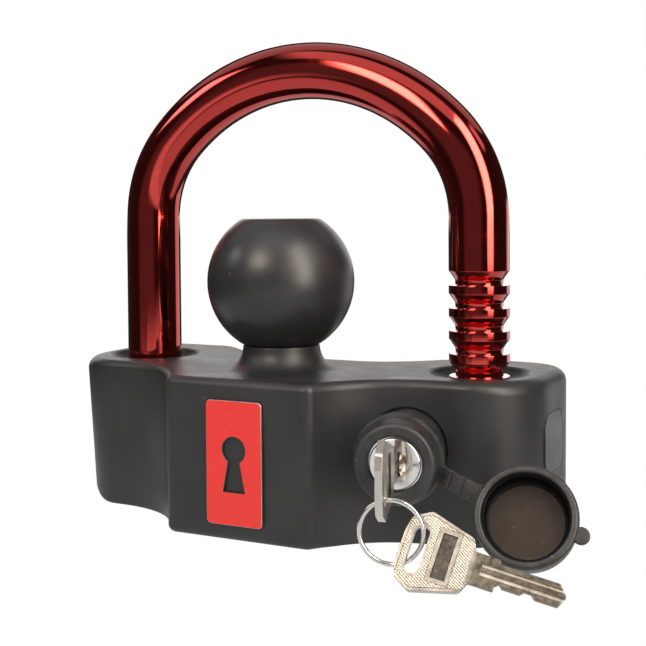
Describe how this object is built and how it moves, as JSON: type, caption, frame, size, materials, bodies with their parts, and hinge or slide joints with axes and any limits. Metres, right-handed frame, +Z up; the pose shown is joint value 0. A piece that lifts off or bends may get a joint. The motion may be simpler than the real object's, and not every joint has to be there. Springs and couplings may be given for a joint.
{
  "type": "trailer coupler lock",
  "caption": "Trailer coupler lock: cast body with a coupler ball, a grooved U-shackle through it, and a keyed cylinder with rubber dust cap and keys on a ring.",
  "frame": {"origin": "On the flat underside of the body, midway between the two shackle legs.", "axes": "+X from the plain leg to the grooved leg, +Y to the back, away from the keyhole, and +Z up through the shackle."},
  "size_m": [0.1904, 0.1065, 0.1568],
  "materials": {
    "black_paint": "satin black powder coat",
    "red_chrome": "clear red lacquer over bright chrome, scuffed",
    "bright_chrome": "bright chrome",
    "plain_steel": "plain machined steel",
    "brass": "punched brass",
    "nickel": "nickel-plated, softly worn",
    "black_rubber": "matt black rubber with a pale bloom",
    "red_enamel": "flat red enamel"
  },
  "bodies": {
    "body": {"lock_body": "black_paint", "coupler_ball": "black_paint", "ball_washer": "plain_steel", "ball_nut": "plain_steel", "end_cover": "black_paint", "badge_plate": "red_enamel", "lock_barrel": "bright_chrome", "barrel_roll_pin": "plain_steel", "rubber_collar": "black_rubber", "locking_bolt_spring": "plain_steel"},
    "u_shackle": {"shackle": "red_chrome"},
    "plug": {"lock_plug": "bright_chrome", "plug_clip": "plain_steel", "drive_cam": "plain_steel", "wafer_1": "brass", "wafer_2": "brass", "wafer_3": "brass", "wafer_4": "brass", "wafer_5": "brass", "wafer_spring_1": "plain_steel", "wafer_spring_2": "plain_steel", "wafer_spring_3": "plain_steel", "wafer_spring_4": "plain_steel", "wafer_spring_5": "plain_steel"},
    "bolt": {"locking_bolt": "plain_steel"},
    "key": {"lock_key": "nickel"},
    "ring": {"key_ring": "bright_chrome"},
    "second_key": {"spare_key": "nickel"},
    "strap": {"cap_strap": "black_rubber"},
    "cap": {"dust_cap": "black_rubber"}
  },
  "joints": [
    {"name": "shackle_slide", "type": "slide", "parent": "body", "child": "u_shackle", "axis": [0, 0, 1], "range_m": [-0.0143, 0.0429]},
    {"name": "plug_turn", "type": "hinge", "parent": "body", "child": "plug", "pos_m": [0.0535, -0.0485, 0.029], "axis": [-0.2504, 0.9681, 0], "range_deg": [0, 90]},
    {"name": "bolt_slide", "type": "slide", "parent": "body", "child": "bolt", "axis": [1, 0, 0], "range_m": [0, 0.003], "deforming": ["locking_bolt_spring"]},
    {"name": "key_withdraw", "type": "slide", "parent": "plug", "child": "key", "axis": [0.2504, -0.9681, 0], "range_m": [0, 0.022]},
    {"name": "ring_swing", "type": "hinge", "parent": "key", "child": "ring", "pos_m": [0.05891, -0.06941, 0.02395], "axis": [0.2504, -0.9681, 0], "range_deg": [-25, 8]},
    {"name": "spare_key_swing", "type": "hinge", "parent": "ring", "child": "second_key", "pos_m": [0.06134, -0.06878, 0.01573], "axis": [0.2504, -0.9681, 0], "range_deg": [-30, 5]},
    {"name": "strap_fold", "type": "hinge", "parent": "body", "child": "strap", "pos_m": [0.0667, -0.04009, 0.02414], "axis": [-0.3004, -0.0777, -0.9507], "range_deg": [0, 26], "stiffness_Nm_per_rad": 0.004},
    {"name": "cap_fold", "type": "hinge", "parent": "strap", "child": "cap", "pos_m": [0.07085, -0.04129, 0.02293], "axis": [-0.3004, -0.0777, -0.9507], "range_deg": [0, 32], "stiffness_Nm_per_rad": 0.004}
  ],
  "couplings": [
    {"joint": "plug_turn", "follows": "bolt_slide", "rad_per_m": 523.59}
  ]
}
